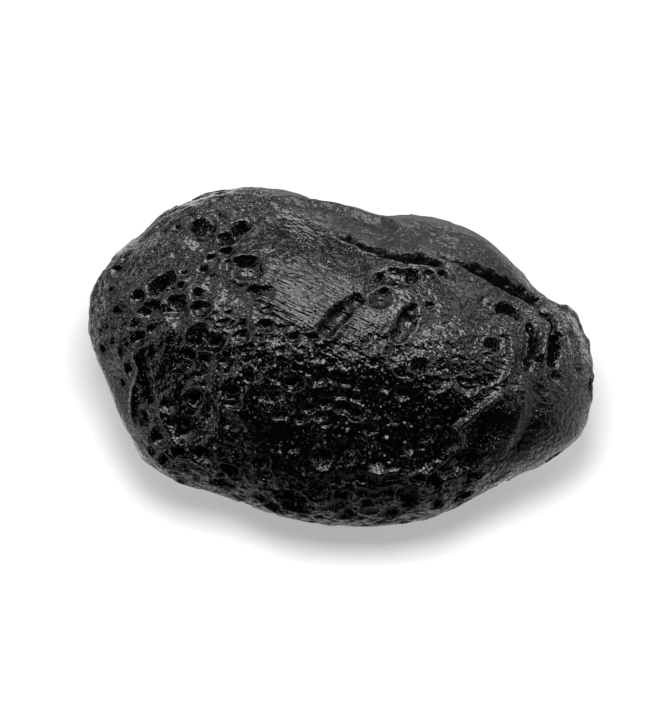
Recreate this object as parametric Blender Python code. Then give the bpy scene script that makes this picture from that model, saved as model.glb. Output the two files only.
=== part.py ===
"""A tektite: one solid lump of black natural glass, pitted, grooved and ridged, lying on a worn flat.

Run with: blender --background --python part.py

The lump starts as an ellipsoid. Seen square on to its show face, which leans back, its outline is pushed
in and out to the stone's own irregular one. Swells, creases and pits then move the skin along its own
normal, and the underside is worn flat. Marks on the show face are placed in millimetres on that face's
own plane: u across it, to +X, and v up it, from the middle of the outline. The row frame is metres with
+Z up, +X along the stone and the origin under the middle of its box.
"""

import math

import bmesh
import bpy
import numpy as np

MM = 0.001

# Driving dimensions, in millimetres.
LENGTH = 51.0  # along X
DEPTH = 35.6  # along Y
HEIGHT = 27.2  # along Z, before the underside is worn
WORN = 1.1  # how much of the underside is worn away
WORN_EDGE = 0.5  # how softly the worn flat meets the sides
MIDDLE = (0.0, 0.35)  # the middle of the finished box, across and along, from the ellipsoid's middle
FACE_LEAN = math.radians(60)  # the show face's normal, above the horizon

# The solid's fineness.
SPHERE_LEVEL = 7
GATHERED = 0.3  # how far the sphere's points are drawn towards the show face
TRIANGLES = 9800
FLAT_TOLERANCE = 0.03 * MM

# The show face's own axes: across, up and out.
ACROSS = np.array([1.0, 0.0, 0.0])
UP = np.array([0.0, math.sin(FACE_LEAN), math.cos(FACE_LEAN)])
OUT = np.array([0.0, -math.cos(FACE_LEAN), math.sin(FACE_LEAN)])

# The outline, seen square on to the show face: (u, v), turning from +u towards +v.
OUTLINE = (
    (25.4, 0.0), (24.4, 2.1), (23.3, 4.2), (20.8, 5.6), (18.1, 8.5), (14.3, 12.1), (9.6, 13.8),
    (6.6, 14.1), (4.6, 14.0), (1.3, 14.9), (-2.8, 15.7), (-6.0, 16.5), (-9.7, 16.7), (-13.6, 16.2),
    (-17.4, 14.6), (-20.5, 11.8), (-23.8, 8.7), (-25.2, 5.3), (-25.3, 1.8), (-23.8, -2.1),
    (-21.3, -7.8), (-19.0, -11.0), (-15.4, -12.9), (-11.6, -13.9), (-8.7, -15.1), (-4.4, -16.3),
    (0.0, -16.7), (4.5, -16.7), (9.2, -15.9), (13.9, -13.9), (17.4, -12.2), (21.5, -10.0),
    (24.2, -7.9), (25.1, -5.8), (25.4, -3.5),
)

# Broad swells and dips of the show face: u, v, length, width, turn in degrees, height.
SWELLS = (
    (14.0, 10.5, 15.0, 5.0, -36, 0.9),  # the back lobe
    (22.6, -0.5, 7.0, 12.0, 0, 0.6),  # the nose
    (-14.0, 1.5, 10.0, 5.0, 20, -0.45),  # the hollow below the pitted shoulder
    (-1.0, -8.0, 36.0, 9.5, -2, -0.85),  # the hollow front
    (3.0, -3.4, 18.0, 6.0, 3, -0.3),
    (-14.8, -7.3, 6.5, 5.0, 0, -0.7),  # the hollow behind the left flank's ridge
    (14.8, -5.4, 3.5, 4.0, -40, -0.3),  # the hollow below the nose's fold
    (-6.0, -1.2, 16.0, 6.5, -3, 0.35),  # the brow above it
    (12.0, 6.2, 20.0, 8.0, 2, 0.4),
)

# Creases of the show face: half-width, height (negative for a groove), then the (u, v) path.
CREASES = (
    # the crown's ridge and the strip behind it
    (0.6, 0.7, ((-7.8, 15.8), (-4.0, 15.2), (-1.0, 14.7), (1.5, 13.9), (4.5, 13.0), (6.8, 12.2))),
    (1.2, -0.4, ((-1.5, 13.2), (2.0, 12.3), (5.0, 11.5), (8.0, 10.7))),
    # the groove below the crown, the back groove, and the lip between them
    (0.5, -1.35, ((-0.8, 12.4), (1.2, 11.5), (3.2, 10.6), (6.0, 9.8), (8.5, 9.6), (10.5, 9.0))),
    (0.7, 0.35, ((8.6, 9.9), (11.0, 9.0), (14.0, 7.3), (17.0, 5.6), (19.2, 4.7))),
    (1.6, -0.4, ((8.0, 11.7), (10.0, 11.0), (12.0, 10.2))),
    (0.4, -0.9, ((9.6, 10.4), (11.2, 9.6), (13.0, 8.6), (14.8, 7.6), (16.2, 6.8))),
    (0.6, -1.3, ((13.8, 8.2), (15.4, 7.3), (16.9, 6.4), (18.5, 5.5), (20.2, 4.8))),
    # the folds beside the nose
    (0.45, -2.2, ((19.6, 4.7), (20.8, 3.7), (21.1, 1.6), (20.9, -0.2), (20.7, -1.3))),
    (0.5, 0.7, ((20.0, 3.3), (19.8, 1.6), (19.4, -0.2))),
    (0.4, 0.5, ((21.4, 4.7), (22.9, 4.2), (23.9, 3.4), (24.4, 1.9), (24.8, 0.4))),
    (0.4, -0.9, ((18.7, 3.4), (18.9, 2.0), (18.8, 0.4))),
    (0.35, 0.5, ((15.7, 2.8), (16.3, 1.1), (16.0, -0.8), (16.1, -3.6))),
    # the fold that runs down to the foot
    (
        0.3, 0.5,
        ((16.0, -3.4), (14.1, -4.8), (12.8, -6.0), (12.3, -6.7), (11.2, -7.2), (11.7, -8.2), (11.0, -9.6)),
    ),
    # the left flank
    (0.5, -0.5, ((-19.0, -1.8), (-19.1, -3.4), (-18.8, -5.2))),
    (0.4, 0.35, ((-19.3, 1.3), (-20.1, -0.1), (-19.8, -1.5), (-20.7, -4.1), (-20.5, -7.9))),
    (0.35, 0.5, ((-18.1, -4.1), (-17.7, -6.2), (-17.0, -7.7), (-15.3, -9.8), (-12.4, -11.5))),
)

# Pits of the show face: u, v, length, width, turn in degrees, depth, and for a trough how blunt it is:
# a bowl's bluntness is 2, and more of it makes the pit flatter and squarer.
PITS = (
    # the shoulder's nest of bubbles
    (-13.6, 12.6, 3.2, 3.0, 0, 1.5, 3), (-14.0, 11.4, 3.7, 3.4, 0, 0.65),
    (-12.1, 14.0, 2.4, 2.0, 20, 0.85), (-11.2, 11.7, 2.7, 2.1, 15, 1.4), (-9.9, 12.9, 2.6, 2.1, 75, 1.4),
    (-11.1, 10.4, 1.9, 1.2, 0, 0.5), (-8.4, 13.5, 1.5, 1.5, 0, 0.45), (-17.9, 13.0, 2.6, 1.6, 20, 0.5),
    (-19.2, 11.8, 1.8, 1.4, 20, 0.5), (-12.4, 9.5, 2.0, 1.6, 0, 0.4),
    # the far left
    (-21.4, 9.8, 2.0, 1.2, 40, 1.0), (-22.0, 8.6, 3.0, 2.8, 0, 0.8), (-17.7, 7.2, 3.2, 1.7, 27, 1.4, 3),
    (-20.0, 5.7, 1.9, 1.9, 40, 0.6), (-18.3, 4.2, 2.3, 2.5, 0, 0.8), (-16.1, 4.6, 2.6, 3.2, 20, 0.65),
    (-14.0, 6.1, 1.6, 1.3, 0, 0.45), (-13.5, 4.7, 2.2, 1.8, 0, 0.5), (-19.9, 3.2, 1.7, 1.4, 0, 0.5),
    (-19.7, 2.1, 1.4, 1.3, 0, 0.5), (-13.9, 1.9, 2.4, 2.7, 0, 1.2, 3), (-12.4, 1.3, 2.2, 2.0, 0, 1.3),
    (-14.9, 0.2, 1.6, 1.3, 0, 0.8),
    # between the shoulder and the troughs
    (-9.2, 8.3, 3.0, 2.5, 0, 0.9), (-8.2, 6.3, 1.7, 1.4, 0, 0.6), (-7.4, 2.9, 1.9, 1.4, 0, 0.6),
    (-9.6, 1.9, 1.9, 1.4, 0, 0.6),
    # the long troughs and the bubbles above them
    (-1.1, 2.8, 2.2, 1.8, 50, 0.8, 3), (0.1, 4.1, 3.0, 2.0, 50, 0.95, 3),
    (1.4, 5.3, 2.2, 1.6, 50, 0.75, 3), (5.8, 2.1, 2.2, 1.9, 70, 0.75), (6.6, 3.4, 2.8, 2.0, 65, 0.7, 3),
    (7.1, 4.4, 1.6, 1.2, 60, 0.5), (3.8, 5.4, 2.6, 2.1, 50, 0.6), (5.5, 7.6, 4.6, 2.8, 0, 0.6),
    (3.8, 7.7, 1.8, 1.6, 90, 0.9), (5.4, 7.4, 2.2, 1.6, 0, 1.0), (7.1, 7.9, 1.8, 1.7, 90, 1.0),
    (8.8, 8.0, 1.8, 1.5, 90, 0.7), (10.0, 8.2, 1.4, 1.2, 0, 0.6),
    # bubbles along the groove below the crown
    (4.5, 10.0, 1.5, 1.2, -15, 1.1), (6.7, 9.9, 1.4, 1.2, 0, 1.1), (7.9, 9.9, 1.4, 1.2, 0, 1.1),
    # bubbles along the back groove
    (13.4, 8.6, 1.5, 1.2, -35, 0.9), (14.9, 7.9, 1.5, 1.2, -35, 0.9), (16.3, 7.1, 1.6, 1.3, -35, 1.0),
    (17.8, 6.2, 1.6, 1.3, -35, 1.0), (19.2, 5.4, 1.5, 1.2, -35, 0.9),
    # beside the nose
    (15.9, 3.5, 2.1, 1.7, 0, 1.5), (17.2, 3.9, 1.9, 1.6, 0, 1.0), (17.6, 3.6, 1.4, 1.5, 0, 0.7),
    (13.9, 5.2, 1.4, 1.3, 0, 0.4), (20.9, -2.1, 1.7, 1.4, 0, 0.4), (14.9, 1.0, 1.8, 1.4, 0, 0.9),
    (21.5, 1.8, 1.2, 1.4, 0, 0.6),
    # the middle
    (7.9, -0.9, 2.0, 1.5, 0, 0.9), (-4.7, -2.6, 2.8, 1.8, 0, 0.9), (-9.0, -2.0, 1.4, 1.2, 0, 0.6),
    (-10.8, -3.5, 2.1, 1.7, 0, 1.0), (-14.5, -4.2, 2.2, 1.9, 0, 0.8), (-10.7, -4.6, 1.9, 1.4, 0, 0.55),
    (-6.5, -3.9, 2.0, 1.4, 0, 0.55), (-1.8, -2.1, 1.9, 1.3, 0, 0.5), (-1.5, -4.7, 1.9, 1.3, 0, 0.5),
    (-3.3, -5.1, 2.0, 1.3, 0, 0.5), (0.3, -5.1, 2.0, 1.4, 0, 0.55), (-5.9, -6.0, 1.9, 1.3, 0, 0.5),
    (-3.9, -6.3, 1.8, 1.2, 0, 0.5), (-2.0, -6.1, 1.8, 1.2, 0, 0.5), (1.5, -5.7, 2.5, 1.5, -15, 0.6),
    # the outline's notches
    (25.1, -3.0, 2.4, 1.6, 0, 0.6), (21.3, -10.0, 2.2, 1.6, 0, 0.5), (21.2, 5.2, 2.5, 2.0, -35, 0.6),
    (4.6, 14.0, 4.4, 2.4, -15, 0.6), (-20.2, 12.4, 2.2, 1.6, 40, 0.5), (-23.7, 9.2, 1.9, 1.6, 50, 0.5),
    # the scalloped foot
    (-18.6, -9.6, 1.6, 1.5, -20, 0.5), (-17.4, -10.4, 1.4, 1.8, 0, 0.8),
    (-15.9, -9.8, 2.1, 1.5, -30, 0.8), (-13.8, -10.2, 2.3, 2.2, 0, 1.0),
    (-10.8, -11.6, 2.8, 2.1, -50, 1.0), (-10.3, -8.5, 1.4, 1.2, 0, 0.5), (-7.9, -10.7, 1.9, 2.0, 0, 0.7),
    (-7.3, -12.1, 1.8, 1.2, 0, 0.5), (-4.8, -14.4, 3.6, 3.4, 0, 1.1), (-2.2, -13.3, 2.8, 2.7, 0, 0.9),
    (-1.8, -10.4, 2.4, 2.3, 0, 0.6), (0.1, -13.9, 2.3, 1.9, 0, 0.8), (6.6, -13.9, 2.6, 3.4, 0, 1.1),
    (7.6, -12.1, 1.9, 1.5, 0, 0.7), (9.2, -12.7, 1.9, 2.0, 0, 0.9), (9.5, -14.5, 1.6, 2.0, 0, 0.7),
    (10.5, -11.7, 2.4, 1.6, 0, 0.8), (12.2, -10.6, 4.2, 2.8, 25, 1.2), (12.9, -12.0, 2.5, 1.4, 5, 0.8),
    (12.2, -13.9, 2.4, 1.8, 10, 0.6),
)

# Parts of the show face: u, v, length, width, turn.
SHOULDER = (-17.5, 8.5, 20.0, 17.0, 40)
FOOT = (-1.0, -13.0, 36.0, 10.0, 0)
LOWER_LEFT = (-14.0, -8.5, 14.0, 9.0, -50)
NOSE_ROOT = (17.0, 3.0, 9.0, 8.0, 0)
EVEN = (  # the smooth skin: the dome, the strip below the crown, the nose's flank and the left one
    (-2.0, 7.5, 16.0, 9.0, -30), (9.5, 3.5, 9.0, 8.0, 0), (4.0, 13.0, 16.0, 5.0, -25),
    (12.0, 10.8, 16.0, 6.0, -38), (13.0, 1.0, 10.0, 6.0, -10), (-8.0, 5.2, 8.0, 4.0, -10),
    (20.5, -5.0, 9.0, 14.0, -15), (-22.3, -4.5, 4.0, 11.0, 15),
)

# Bubbles caught at the skin: spacing, smallest and largest radius, and the seed of their places. COARSE
# is the big ones on the hidden sides, as deep as COARSE_STRENGTH times a half ball. Each row of FINE goes
# on: strength, the parts of the show face that have it in full, and how much of it the rest of that face
# and the hidden sides have.
COARSE = (3.9, 0.8, 1.9, 11)
COARSE_STRENGTH = 1.6
FINE = (
    ((2.4, 0.9, 1.5, 14), 0.8, (FOOT, LOWER_LEFT), 0.0, 1.0),
    ((2.7, 0.7, 1.5, 16), 0.6, (SHOULDER,), 0.0, 0.0),
    ((2.1, 0.5, 1.2, 12), 1.0, (SHOULDER, NOSE_ROOT), 0.25, 0.8),
)
EVEN_SHARE = 0.2  # how much of them the smooth skin keeps
LATTICE = 32  # cells after which a lattice of random numbers repeats


def across_outline(angle):
    """The outline's radius at each angle: a cubic through its listed points, smooth all the way round."""
    points = np.array(OUTLINE)
    at = np.unwrap(np.arctan2(points[:, 1], points[:, 0]))
    radius = np.hypot(points[:, 0], points[:, 1])
    turn = 2 * math.pi
    at = np.concatenate([at[-2:] - turn, at, at[:3] + turn])
    radius = np.concatenate([radius[-2:], radius, radius[:3]])
    slope = np.gradient(radius, at)
    angle = np.mod(angle, turn)
    low = np.clip(np.searchsorted(at, angle, side="right") - 1, 0, len(at) - 2)
    span = at[low + 1] - at[low]
    t = (angle - at[low]) / span
    ends = (1 + 2 * t) * (1 - t) ** 2 * radius[low] + t**2 * (3 - 2 * t) * radius[low + 1]
    slopes = t * (1 - t) ** 2 * slope[low] - t**2 * (1 - t) * slope[low + 1]
    return ends + span * slopes


def smooth_step(value):
    """0 below 0, 1 above 1, and smooth between."""
    share = np.clip(value, 0, 1)
    return share * share * (3 - 2 * share)


def unit(vectors):
    """Each row, one long."""
    return vectors / np.linalg.norm(vectors, axis=-1, keepdims=True)


def bare_body(directions):
    """The lump without its marks, in millimetres from its middle: a point for each unit direction."""
    half = np.array([LENGTH, DEPTH, HEIGHT]) / 2
    points = directions * half
    u, v = points @ ACROSS, points @ UP
    half_up = math.hypot(half[1] * UP[1], half[2] * UP[2])
    angle = np.arctan2(v, u)
    ellipse = 1 / np.hypot(np.cos(angle) / half[0], np.sin(angle) / half_up)
    stretch = across_outline(angle) / ellipse - 1
    to_edge = smooth_step(np.hypot(u / half[0], v / half_up))
    return points * (1 + stretch * to_edge)[:, None]


def skin_normals(directions):
    """Outward unit normals of the bare body, from short steps both ways along the sphere."""
    step = 1e-3
    pole = np.where(np.abs(directions[:, 2:]) < 0.9, [[0.0, 0.0, 1.0]], [[1.0, 0.0, 0.0]])
    east = unit(np.cross(pole, directions)) * step
    north = np.cross(directions, east)
    over = [bare_body(unit(directions + way)) for way in (east, -east, north, -north)]
    return unit(np.cross(over[0] - over[1], over[2] - over[3]))


def waves(points, size, seed):
    """Smooth random numbers from -1 to 1, in waves of the given size."""
    table = np.random.default_rng(seed).uniform(-1, 1, (LATTICE,) * 3)
    low = np.floor(points / size).astype(int)
    share = smooth_step(points / size - low)
    total = np.zeros(len(points))
    for corner in np.ndindex(2, 2, 2):
        i, j, k = ((low + corner) % LATTICE).T
        total += table[i, j, k] * np.prod(np.where(corner, share, 1 - share), axis=1)
    return total


def bubble_pits(points, normals, spacing, smallest, largest, seed):
    """Depth of the pits that bubbles leave: one ball, jittered, for each cell of a lattice.

    A ball centred at the skin leaves a bowl, and one that only touches it leaves a shallow dish.
    """
    table = np.random.default_rng(seed).random((LATTICE, LATTICE, LATTICE, 4))
    low = np.floor(points / spacing).astype(int)
    depth = np.zeros(len(points))
    for step in np.ndindex(3, 3, 3):
        cell = low + np.array(step) - 1
        i, j, k = (cell % LATTICE).T
        draw = table[i, j, k]
        away = points - (cell + draw[:, :3]) * spacing
        radius = smallest + (largest - smallest) * draw[:, 3] ** 2
        height = np.abs(np.sum(away * normals, axis=1))
        aside = np.sum(away * away, axis=1) - height**2
        bowl = np.sqrt(np.clip(radius**2 - aside, 0, None)) - np.maximum(height, 0.4 * radius)
        depth = np.maximum(depth, bowl)
    return depth


class ShowFace:
    """Places marks on the side of the skin that the show face's own plane looks at."""

    def __init__(self, points, normals):
        self.points = points
        self.normals = normals
        self.flat = np.stack([points @ ACROSS, points @ UP], axis=1)
        self.hidden = np.where(normals @ OUT > 0, 0.0, 1e6)
        self.away = smooth_step(0.5 - 1.5 * (normals @ OUT))

    def inside(self, parts):
        """How far inside any of the face's parts each point is: 1 well inside, and 0 past the rims."""
        share = np.zeros(len(self.points))
        for u, v, length, width, turn in parts:
            angle = math.radians(turn)
            aside = self.flat - (u, v)
            across = aside @ (math.cos(angle), math.sin(angle)) / (length / 2)
            up = aside @ (-math.sin(angle), math.cos(angle)) / (width / 2)
            share = np.maximum(share, smooth_step((1.25 - np.hypot(across, up)) / 0.5) * (1 - self.away))
        return share

    def seat(self, u, v):
        """The skin point nearest to (u, v), by its index."""
        return np.argmin(np.sum((self.flat - (u, v)) ** 2, axis=1) + self.hidden)

    def oval(self, u, v, length, width, turn, bluntness=2):
        """Distance from an oval's middle, 1 at its rim, on the skin around (u, v).

        A bluntness of 2 makes the rim an ellipse, and more makes it a rounded box.
        """
        seat = self.seat(u, v)
        normal = self.normals[seat]
        angle = math.radians(turn)
        along = math.cos(angle) * ACROSS + math.sin(angle) * UP
        along = unit(along - (along @ normal) * normal)
        away = self.points - self.points[seat]
        parts = (
            away @ along / (length / 2),
            away @ np.cross(normal, along) / (width / 2),
            away @ normal / max(length, width),
        )
        return sum(np.abs(part) ** bluntness for part in parts) ** (1 / bluntness)

    def crease(self, half_width, path):
        """A crease's profile: 1 along its path over the skin, fading to its sides and to its ends."""
        knots = self.points[[self.seat(u, v) for u, v in path]]
        knots = np.concatenate([[2 * knots[0] - knots[1]], knots, [2 * knots[-1] - knots[-2]]])
        curve = [
            spline_point(knots[i : i + 4], t)
            for i in range(len(path) - 1)
            for t in (0, 0.25, 0.5, 0.75)
        ]
        curve.append(knots[-2])
        nearest = np.full(len(self.points), 1e6)
        along = np.zeros(len(self.points))
        for i, (start, end) in enumerate(zip(curve, curve[1:])):
            step = end - start
            t = np.clip((self.points - start) @ step / (step @ step), 0, 1)
            away = np.linalg.norm(self.points - start - t[:, None] * step, axis=1)
            along = np.where(away < nearest, (i + t) / (len(curve) - 1), along)
            nearest = np.minimum(nearest, away)
        ends = smooth_step(5 * np.minimum(along, 1 - along) + 0.15)
        return np.exp(-((nearest / half_width) ** 2)) * ends


def spline_point(knots, t):
    """A point of a Catmull-Rom curve, between the middle two of four knots."""
    a, b, c, d = knots
    return 0.5 * (2 * b + (c - a) * t + (2 * a - 5 * b + 4 * c - d) * t**2 + (3 * b - 3 * c + d - a) * t**3)


def marks(points, normals):
    """How far each skin point stands out, in millimetres: swells and creases, less pits."""
    face = ShowFace(points, normals)
    height = (0.25 + 0.5 * face.away) * waves(points, 9.0, seed=1) + 0.15 * waves(points, 3.5, seed=2)
    for u, v, length, width, turn, rise in SWELLS:
        height += rise * np.exp(-(face.oval(u, v, length, width, turn) ** 2))
    for half_width, rise, path in CREASES:
        height += rise * face.crease(half_width, path)
    pits = np.zeros(len(points))
    for u, v, length, width, turn, depth, *blunt in PITS:
        bluntness = blunt[0] if blunt else 2
        away = face.oval(u, v, length, width, turn, bluntness)
        pits = np.maximum(pits, depth * np.clip(1 - away**bluntness, 0, 1))
    pits = np.maximum(pits, COARSE_STRENGTH * bubble_pits(points, normals, *COARSE) * face.away)
    crowded = smooth_step(0.75 + waves(points, 7.0, seed=3)) * (1 - (1 - EVEN_SHARE) * face.inside(EVEN))
    for bubbles, strength, parts, shown, hidden in FINE:
        share = np.maximum(shown + (hidden - shown) * face.away, face.inside(parts))
        pits += strength * share * crowded * bubble_pits(points, normals, *bubbles)
    return height - pits


def wear_flat(heights):
    """Heights over the worn flat: 0 on the flat, unchanged well above it, and rounded between."""
    rounded = (heights + WORN_EDGE) ** 2 / (4 * WORN_EDGE)
    return np.where(heights < WORN_EDGE, np.where(heights < -WORN_EDGE, 0.0, rounded), heights)


def skin(directions):
    """The finished skin, in metres in the row frame: a point for each unit direction."""
    directions = unit(directions + GATHERED * OUT)
    points = bare_body(directions)
    normals = skin_normals(directions)
    points = points + normals * marks(points, normals)[:, None]
    points[:, :2] -= MIDDLE
    points[:, 2] = wear_flat(points[:, 2] + HEIGHT / 2 - WORN)
    return points * MM


def glass(name):
    """Black natural glass with a dull, weathered skin."""
    material = bpy.data.materials.new(name)
    material.use_nodes = True
    shader = material.node_tree.nodes["Principled BSDF"]
    shader.inputs["Base Color"].default_value = (0.013, 0.014, 0.0135, 1)
    shader.inputs["Roughness"].default_value = 0.42
    shader.inputs["Metallic"].default_value = 0.0
    shader.inputs["IOR"].default_value = 1.5
    return material


def thinned(stone, triangles):
    """The stone's mesh with only about so many triangles, most of them where the skin bends most."""
    thin = stone.modifiers.new("Thin", "DECIMATE")
    thin.ratio = triangles / len(stone.data.polygons)
    thin.use_collapse_triangulate = True
    mesh = bpy.data.meshes.new_from_object(stone.evaluated_get(bpy.context.evaluated_depsgraph_get()))
    stone.modifiers.clear()
    return mesh


def make_tektite(name):
    """The stone: a fine sphere drawn out to the skin, thinned, with its worn flat made true."""
    form = bmesh.new()
    bmesh.ops.create_icosphere(form, subdivisions=SPHERE_LEVEL, radius=1)
    mesh = bpy.data.meshes.new(name)
    form.to_mesh(mesh)
    form.free()
    places = np.empty(len(mesh.vertices) * 3)
    mesh.vertices.foreach_get("co", places)
    mesh.vertices.foreach_set("co", skin(unit(places.reshape(-1, 3))).ravel())
    stone = bpy.data.objects.new(name, mesh)
    bpy.context.collection.objects.link(stone)
    stone.data = thinned(stone, TRIANGLES)
    for vertex in stone.data.vertices:
        if vertex.co.z < FLAT_TOLERANCE:
            vertex.co.z = 0
    stone.data.materials.append(glass("black glass"))
    stone.data.shade_smooth()
    return stone


def main():
    """Clear the scene and make the stone."""
    for thing in list(bpy.data.objects):
        bpy.data.objects.remove(thing)
    make_tektite("tektite")


main()
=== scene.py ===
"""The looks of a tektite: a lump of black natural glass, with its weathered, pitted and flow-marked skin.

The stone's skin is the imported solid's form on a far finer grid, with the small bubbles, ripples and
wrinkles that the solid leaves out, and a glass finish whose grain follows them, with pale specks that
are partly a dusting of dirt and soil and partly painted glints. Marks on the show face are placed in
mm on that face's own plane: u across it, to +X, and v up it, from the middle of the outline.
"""

import logging
import math
from dataclasses import dataclass, field
from enum import Enum

import bpy
import numpy as np
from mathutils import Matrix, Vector


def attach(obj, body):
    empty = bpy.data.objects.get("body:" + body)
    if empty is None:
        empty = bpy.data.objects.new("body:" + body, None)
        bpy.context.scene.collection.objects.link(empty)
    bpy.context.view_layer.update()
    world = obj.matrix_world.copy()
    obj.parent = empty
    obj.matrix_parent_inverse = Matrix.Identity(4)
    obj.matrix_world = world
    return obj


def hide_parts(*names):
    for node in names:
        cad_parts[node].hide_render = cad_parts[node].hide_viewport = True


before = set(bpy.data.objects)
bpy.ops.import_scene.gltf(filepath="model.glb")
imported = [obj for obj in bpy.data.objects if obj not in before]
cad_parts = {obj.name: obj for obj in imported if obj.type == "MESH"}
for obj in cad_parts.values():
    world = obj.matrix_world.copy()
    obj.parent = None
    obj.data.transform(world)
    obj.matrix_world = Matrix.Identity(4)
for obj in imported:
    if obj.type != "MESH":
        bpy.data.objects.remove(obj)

log = logging.getLogger("tektite")
Array = np.ndarray
Socket = bpy.types.NodeSocket
Pair = tuple[float, float]
Triple = tuple[float, float, float]

MM = 0.001
NODE = "tektite"
LATTICE = 32  # cells after which a lattice of random numbers repeats
PATCH_REACH = 1.25  # where a patch's share has fallen to 0, as a share of the way to its rim
PATCH_EASE = 0.5  # how far before that it starts to fall
CREASE_END = 0.15  # a crease's share at its ends, before it is smoothed
CREASE_RISE = 5  # how much that would grow over its whole length
CREASE_STEPS = 4  # straight pieces from one point of its path to the next
FACING_AWAY = 1.5  # how sharply skin past sideways counts as turned away
FAR = 1e6  # further than anything on the stone, in mm
NEXT_SEED = 50  # from the seed of one turned lattice to the next one's


def smooth_step(value: Array) -> Array:
    """Ease from 0 to 1, as 3t^2 - 2t^3 of the value held between 0 and 1."""
    share = np.clip(value, 0, 1)
    return share * share * (3 - 2 * share)


def unit(vectors: Array) -> Array:
    """Divide each vector by its own length."""
    return vectors / np.linalg.norm(vectors, axis=-1, keepdims=True)


def waves(points: Array, size: float, seed: int) -> Array:
    """Make smooth random numbers: seeded ones on a lattice, eased between a cell's eight corners.

    Args:
        points: Places, in mm.
        size: Width of a lattice cell, in mm.
        seed: Seed of the lattice's numbers.

    Returns:
        A number from -1 to 1 for each place.
    """
    table = np.random.default_rng(seed).uniform(-1, 1, (LATTICE,) * 3)
    low = np.floor(points / size).astype(int)
    share = smooth_step(points / size - low)
    total = np.zeros(len(points))
    for corner in np.ndindex(2, 2, 2):
        i, j, k = ((low + corner) % LATTICE).T
        total += table[i, j, k] * np.prod(np.where(corner, share, 1 - share), axis=1)
    return total


@dataclass(frozen=True)
class Ripple:
    """One size of smooth waves: their lattice's cell and their height, in mm, and their seed."""

    size: float
    height: float
    seed: int

    def over(self, points: Array, axis: int = 0) -> Array:
        """Give the waves' height at each point, with numbers of its own for each axis."""
        return self.height * waves(points, self.size, self.seed + axis)

    def crumbled(self, points: Array) -> Array:
        """Give the height of waves without rows, from two lattices that are each turned at random."""
        draws = (np.random.default_rng(self.seed + i).normal(size=(3, 3)) for i in (0, NEXT_SEED))
        turned = (points @ np.linalg.qr(draw)[0] for draw in draws)
        both = sum(waves(place, self.size, self.seed + i) for i, place in enumerate(turned))
        return self.height * (both / math.sqrt(2))


@dataclass(frozen=True)
class Oval:
    """A pit, swell or dip on the show face: its middle, size, turn in degrees and height in mm.

    A bluntness of 2 makes an elliptic bowl, and more makes a flatter, squarer trough. A patch, which
    only says where something is, has no height.
    """

    u: float
    v: float
    length: float
    width: float
    turn: float
    rise: float = 0.0
    bluntness: float = 2.0


@dataclass(frozen=True)
class Crease:
    """A ridge or groove on the show face: half its width, its height and its (u, v) path, in mm."""

    half_width: float
    rise: float
    path: tuple[Pair, ...]


@dataclass(frozen=True)
class Outline:
    """The stone's outline, seen square on to the show face, turning from +u towards +v, in mm."""

    points: tuple[Pair, ...] = (
        (25.4, 0), (24.4, 2.1), (23.3, 4.2), (20.8, 5.6), (18.1, 8.5), (14.3, 12.1), (9.6, 13.8),
        (6.6, 14.1), (4.6, 14), (1.3, 14.9), (-2.8, 15.7), (-6, 16.5), (-9.7, 16.7), (-13.6, 16.2),
        (-17.4, 14.6), (-20.5, 11.8), (-23.8, 8.7), (-25.2, 5.3), (-25.3, 1.8), (-23.8, -2.1),
        (-21.3, -7.8), (-19, -11), (-15.4, -12.9), (-11.6, -13.9), (-8.7, -15.1), (-4.4, -16.3),
        (0, -16.7), (4.5, -16.7), (9.2, -15.9), (13.9, -13.9), (17.4, -12.2), (21.5, -10),
        (24.2, -7.9), (25.1, -5.8), (25.4, -3.5),
    )

    def radius(self, angle: Array) -> Array:
        """Read the outline's radius from a cubic through its points, smooth all the way round.

        Args:
            angle: Angles from +u towards +v, in radians.

        Returns:
            The distance from the middle to the outline at each angle, in mm.
        """
        points = np.array(self.points)
        at = np.unwrap(np.arctan2(points[:, 1], points[:, 0]))
        radius = np.hypot(points[:, 0], points[:, 1])
        turn = 2 * math.pi
        at = np.concatenate([at[-2:] - turn, at, at[:3] + turn])
        radius = np.concatenate([radius[-2:], radius, radius[:3]])
        slope = np.gradient(radius, at)
        angle = np.mod(angle, turn)
        low = np.clip(np.searchsorted(at, angle, side="right") - 1, 0, len(at) - 2)
        span = at[low + 1] - at[low]
        t = (angle - at[low]) / span
        ends = (1 + 2 * t) * (1 - t) ** 2 * radius[low] + t**2 * (3 - 2 * t) * radius[low + 1]
        slopes = t * (1 - t) ** 2 * slope[low] - t**2 * (1 - t) * slope[low + 1]
        return ends + span * slopes


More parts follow.
